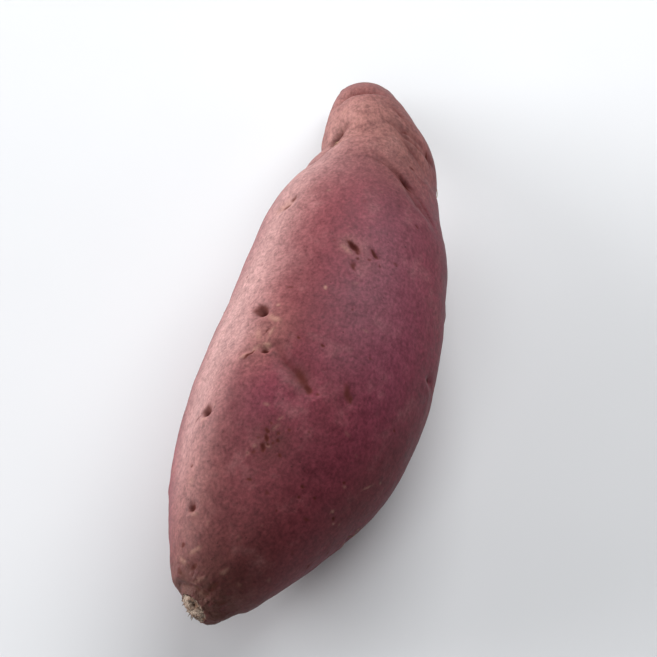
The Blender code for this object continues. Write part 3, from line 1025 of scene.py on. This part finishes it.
class Shading:
    """Builds the nodes of one material."""

    def __init__(self, name):
        self.material = bpy.data.materials.new(name)
        self.material.use_nodes = True
        self.tree = self.material.node_tree
        self.shader = self.tree.nodes["Principled BSDF"]

    def node(self, kind, values=(), **settings):
        node = self.tree.nodes.new(kind)
        for name, value in settings.items():
            setattr(node, name, value)
        for name, value in dict(values).items():
            self.put(node.inputs[name], value)
        return node

    def put(self, socket, value):
        """Links a socket to another, or sets its value."""
        if isinstance(value, bpy.types.NodeSocket):
            self.tree.links.new(value, socket)
        else:
            socket.default_value = value

    def attribute(self, name, output="Fac"):
        return self.node("ShaderNodeAttribute", attribute_name=name).outputs[output]

    def math(self, operation, a, b=0.0):
        node = self.node("ShaderNodeMath", operation=operation)
        self.put(node.inputs[0], a)
        self.put(node.inputs[1], b)
        return node.outputs[0]

    def add(self, *terms):
        total = terms[0]
        for term in terms[1:]:
            total = self.math("ADD", total, term)
        return total

    def times(self, a, b):
        return self.math("MULTIPLY", a, b)

    def stretched(self, vector, scales):
        node = self.node("ShaderNodeVectorMath", operation="MULTIPLY")
        self.put(node.inputs[0], vector)
        self.put(node.inputs[1], scales)
        return node.outputs[0]

    def noise(self, vector, wavelength, detail=2.0, roughness=0.5, distortion=0.0):
        values = {"Vector": vector, "Scale": 1.0 / wavelength, "Detail": detail}
        values.update(Roughness=roughness, Distortion=distortion)
        return self.node("ShaderNodeTexNoise", values).outputs["Fac"]

    def cells(self, vector, wavelength):
        """Distance from the middles of cells, as a share of the wavelength."""
        values = {"Vector": vector, "Scale": 1.0 / wavelength}
        return self.node("ShaderNodeTexVoronoi", values).outputs["Distance"]

    def ramp(self, value, low, high, start=0.0, end=1.0):
        """A smooth step from start at low to end at high."""
        values = {"Value": value, "From Min": low, "From Max": high, "To Min": start, "To Max": end}
        node = self.node("ShaderNodeMapRange", values, interpolation_type="SMOOTHSTEP")
        return node.outputs["Result"]

    def mix(self, share, a, b):
        """The first colour at a share of 0, and the second at 1."""
        node = self.node("ShaderNodeMix", data_type="RGBA", clamp_factor=True)
        self.put(node.inputs["Factor"], share)
        for socket, colour in zip([s for s in node.inputs if s.type == "RGBA"], (a, b)):
            self.put(socket, linear(colour) if isinstance(colour, tuple) else colour)
        return next(s for s in node.outputs if s.type == "RGBA")

    def shade(self, colour, brightness):
        """The colour times a brightness."""
        node = self.node("ShaderNodeVectorMath", operation="SCALE")
        self.put(node.inputs[0], colour)
        self.put(node.inputs["Scale"], brightness)
        return node.outputs[0]

    def bump(self, height):
        """Raises the surface by the height, in millimetres."""
        node = self.node("ShaderNodeBump", {"Height": height, "Distance": MM, "Strength": 1.0})
        self.put(self.shader.inputs["Normal"], node.outputs["Normal"])


def skin_patterns(s):
    """The fine patterns that the skin's colour, gloss and bumps share, from 0 to 1."""
    place = s.attribute("straight", "Vector")
    lengthwise = s.stretched(place, (0.16, 1.0, 1.0))
    crosswise = s.stretched(place, (1.0, 0.2, 0.2))
    speck = s.ramp(s.cells(place, 2.3), 0.04, 0.14, 1.0, 0.0)
    return SimpleNamespace(
        broad=s.noise(place, 30.0, 2.0),
        clouds=s.noise(place, 8.0, 4.0, 0.6),
        mottle=s.noise(place, 2.2, 4.0, 0.65),
        grain=s.noise(place, 0.8, 2.0, 0.6),
        veins=s.noise(lengthwise, 1.6, 3.0, 0.6, 0.6),
        rings=s.noise(crosswise, 1.5, 3.0, 0.6, 0.8),
        speck=s.times(speck, s.ramp(s.noise(place, 5.0, 1.0), 0.5, 0.62)),
    )


def skin_colour(s, p):
    colour = s.mix(s.ramp(p.broad, 0.35, 0.65), DUSKY, RED)
    # The brown tint is partly painted shade on the lower right and in the groove
    for name, strength, tint in (("blush", 0.8, MAGENTA), ("rose", 0.8, ROSE), ("brown_and_shade", 0.85, BROWN)):
        colour = s.mix(s.times(s.attribute(name), strength), colour, tint)
    corky = s.times(s.ramp(p.mottle, 0.25, 0.7, 0.8, 1.0), s.ramp(p.clouds, 0.3, 0.65, 0.85, 1.0))
    colour = s.mix(s.times(s.attribute("tan"), corky), colour, TAN)
    # Painted highlight: the pale patches lighten the left flank's gloss band and a sheen right of the middle
    colour = s.mix(s.times(s.attribute("pale_and_highlight"), s.ramp(p.clouds, 0.25, 0.6, 0.85, 1.0)), colour, PALE_AND_HIGHLIGHT)
    colour = s.mix(s.ramp(p.clouds, 0.5, 0.8, 0.0, 0.2), colour, PALE_AND_HIGHLIGHT)
    colour = s.mix(s.ramp(p.mottle, 0.58, 0.3, 0.0, 0.18), colour, MAROON)
    brightness = s.add(
        s.ramp(p.mottle, 0.25, 0.75, -0.07, 0.12),
        s.ramp(p.grain, 0.15, 0.85, -0.32, 0.32),
        s.ramp(p.clouds, 0.3, 0.7, -0.05, 0.05),
        s.ramp(p.veins, 0.3, 0.7, -0.04, 0.04),
        s.ramp(p.rings, 0.3, 0.7, -0.04, 0.04),
        0.96,
    )
    colour = s.shade(colour, brightness)
    colour = s.mix(s.times(p.speck, 0.5), colour, SCAB)
    return marks_colour(s, p, colour)


def marks_colour(s, p, colour):
    """Lays the colours of the eyes, folds, scabs and ends over the skin's own, with painted shade in the
    folds, the creases, the groove and the hollows of the eyes and the scar.
    """
    uneven = s.ramp(p.mottle, 0.3, 0.6, 0.3, 1.0)
    # Painted shade in the folds and creases, as deep as they lie
    colour = s.mix(s.times(s.attribute("crease_shade"), 0.55), colour, CREASE_SHADE)
    colour = s.mix(s.times(s.attribute("cork"), s.times(uneven, 0.85)), colour, CORK)
    # Dark marks: the eyes' own dark and the specks, with painted shade in the eyes' hollows, the groove and
    # the scar's hollow
    colour = s.mix(s.ramp(s.attribute("dark"), 0.03, 0.55, 0.0, 0.8), colour, PIT)
    colour = s.mix(s.ramp(s.attribute("dark"), 0.35, 0.95, 0.0, 0.92), colour, DARK)
    crust = s.times(s.attribute("scab"), s.ramp(p.mottle, 0.47, 0.56))
    colour = s.mix(s.times(crust, 0.8), colour, SCAB)
    colour = s.mix(s.times(s.attribute("olive"), s.times(uneven, 0.75)), colour, OLIVE)
    wood = s.mix(s.ramp(p.mottle, 0.35, 0.6), HEARTWOOD, STRAW)
    # Painted shade in the scar's hollow, over the broken wood
    wood = s.mix(s.ramp(s.attribute("dark"), 0.15, 0.8), wood, HOLLOW_SHADE)
    return s.mix(s.attribute("broken"), colour, wood)


def skin_height(s, p):
    """Height of the finest relief, in millimetres: all over, and where the attributes say."""
    plain = ((p.grain, 0.02), (p.mottle, 0.05), (p.veins, 0.025), (p.rings, 0.03), (p.speck, -0.05))
    local = (
        ("tan", p.mottle, 0.06),
        ("cork", p.grain, 0.2),
        ("scab", p.mottle, 0.5),
        ("olive", p.mottle, 0.4),
        ("broken", p.grain, 0.5),
    )
    heights = [s.times(pattern, height) for pattern, height in plain]
    heights += [s.times(s.attribute(name), s.times(pattern, height)) for name, pattern, height in local]
    return s.add(*heights)


# How much rougher the skin is where these attributes are 1
ROUGHER = (("tan", 0.08), ("brown_and_shade", 0.06), ("dark", 0.3), ("broken", 0.3))


def skin_material():
    s = Shading("skin")
    p = skin_patterns(s)
    s.put(s.shader.inputs["Base Color"], skin_colour(s, p))
    roughness = s.add(
        0.5,
        s.ramp(p.clouds, 0.3, 0.7, 0.0, 0.1),
        s.ramp(p.mottle, 0.3, 0.7, -0.04, 0.04),
        *(s.times(s.attribute(name), rise) for name, rise in ROUGHER),
    )
    s.put(s.shader.inputs["Roughness"], roughness)
    s.bump(skin_height(s, p))
    s.put(s.shader.inputs["Specular IOR Level"], 0.16)
    return s.material


def hair_material(name, colour):
    s = Shading(name)
    place = s.node("ShaderNodeTexCoord").outputs["Object"]
    patchy = s.noise(place, 1.5 * MM, 3.0, 0.6)
    darker = tuple(int(value * 0.6) for value in colour)
    s.put(s.shader.inputs["Base Color"], s.mix(s.ramp(patchy, 0.35, 0.65), darker, colour))
    s.put(s.shader.inputs["Roughness"], s.ramp(patchy, 0.3, 0.7, 0.65, 0.85))
    return s.material


def floor_material():
    s = Shading("floor")
    place = s.node("ShaderNodeTexCoord").outputs["Object"]
    cloudy = s.noise(place, 0.12, 3.0)
    soft = s.mix(s.ramp(cloudy, 0.3, 0.7), FLOOR, tuple(value - 3 for value in FLOOR))
    s.put(s.shader.inputs["Base Color"], soft)
    s.put(s.shader.inputs["Roughness"], s.ramp(cloudy, 0.3, 0.7, 0.30, 0.36))
    s.put(s.shader.inputs["Specular IOR Level"], 0.4)
    return s.material


# Stage, lights and camera

FLOOR_SIDE = 6.0
ROOM_LIGHT = (0.9, 0.94, 1.0, 1.0)
ROOM_STRENGTH = 0.04

# Soft lights: name, where each stands from the root (right, up and towards the camera in the picture, as
# shares), its distance and sides in metres, and its watts
LIGHTS = (
    ("window", (-1.0, 0.35, 0.14), 1.2, (1.0, 0.6), 18.5),
    ("sky", (0.35, 1.0, 0.25), 1.3, (1.3, 0.8), 18.0),
    ("overhead", (-0.25, 0.0, 1.0), 1.2, (0.7, 0.7), 3.4),
)


def view_axes():
    """The camera's direction, and what is right and up in the picture."""
    turn = math.atan(math.tan(AXIS_TURN) * math.sin(VIEW_ELEVATION))
    level = Vector((math.cos(turn), math.sin(turn), 0.0))
    ahead = level * math.cos(VIEW_ELEVATION) - Vector((0, 0, math.sin(VIEW_ELEVATION)))
    right = ahead.cross(Vector((0, 0, 1))).normalized()
    return ahead, right, right.cross(ahead)


def make_floor():
    bm = bmesh.new()
    bmesh.ops.create_grid(bm, x_segments=1, y_segments=1, size=FLOOR_SIDE / 2)
    floor = finished_piece("floor", bm, floor_material())
    floor.location.z = CAD_LOW[2]


def add_light(name, target, direction, distance, sides, watts):
    """A soft rectangular light that shines on the target from a direction."""
    data = bpy.data.lights.new(name, "AREA")
    data.shape = "RECTANGLE"
    data.size, data.size_y = sides
    data.energy = watts
    light = new_object(name, data)
    direction = direction.normalized()
    light.location = target + direction * distance
    light.rotation_euler = direction.to_track_quat("Z", "Y").to_euler()


def make_lights(target):
    """The soft lights, placed by the view, and a little light from the room."""
    ahead, right, up = view_axes()
    for name, shares, distance, sides, watts in LIGHTS:
        direction = right * shares[0] + up * shares[1] - ahead * shares[2]
        add_light(name, target, direction, distance, sides, watts)
    world = bpy.data.worlds.new("studio")
    world.use_nodes = True
    background = world.node_tree.nodes["Background"]
    background.inputs["Color"].default_value = ROOM_LIGHT
    background.inputs["Strength"].default_value = ROOM_STRENGTH
    bpy.context.scene.world = world


def make_camera(target):
    ahead, right, up = view_axes()
    data = bpy.data.cameras.new("camera")
    data.sensor_width = SENSOR
    data.lens = SENSOR * VIEW_DISTANCE / VIEW_WIDTH
    data.clip_start = VIEW_DISTANCE / 20
    camera = new_object("camera", data)
    camera.location = target - ahead * VIEW_DISTANCE
    camera.rotation_euler = Matrix((right, up, -ahead)).transposed().to_euler()
    bpy.context.scene.camera = camera


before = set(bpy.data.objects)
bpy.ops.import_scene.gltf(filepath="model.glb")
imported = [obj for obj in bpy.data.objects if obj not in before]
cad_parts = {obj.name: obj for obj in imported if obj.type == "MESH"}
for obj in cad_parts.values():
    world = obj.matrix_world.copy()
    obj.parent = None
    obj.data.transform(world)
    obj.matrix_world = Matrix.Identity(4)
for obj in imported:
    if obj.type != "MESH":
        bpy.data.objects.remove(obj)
CAD_LOW, CAD_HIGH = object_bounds()

skin, shift = make_skin()
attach(skin, "root")
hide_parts("sweet_potato")
for piece in (make_rootlets(shift), make_scar_fibres(shift)):
    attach(piece, "root")

target = (CAD_LOW + CAD_HIGH) / 2
make_floor()
make_lights(target)
make_camera(target)
bpy.context.scene.view_settings.view_transform = "Standard"
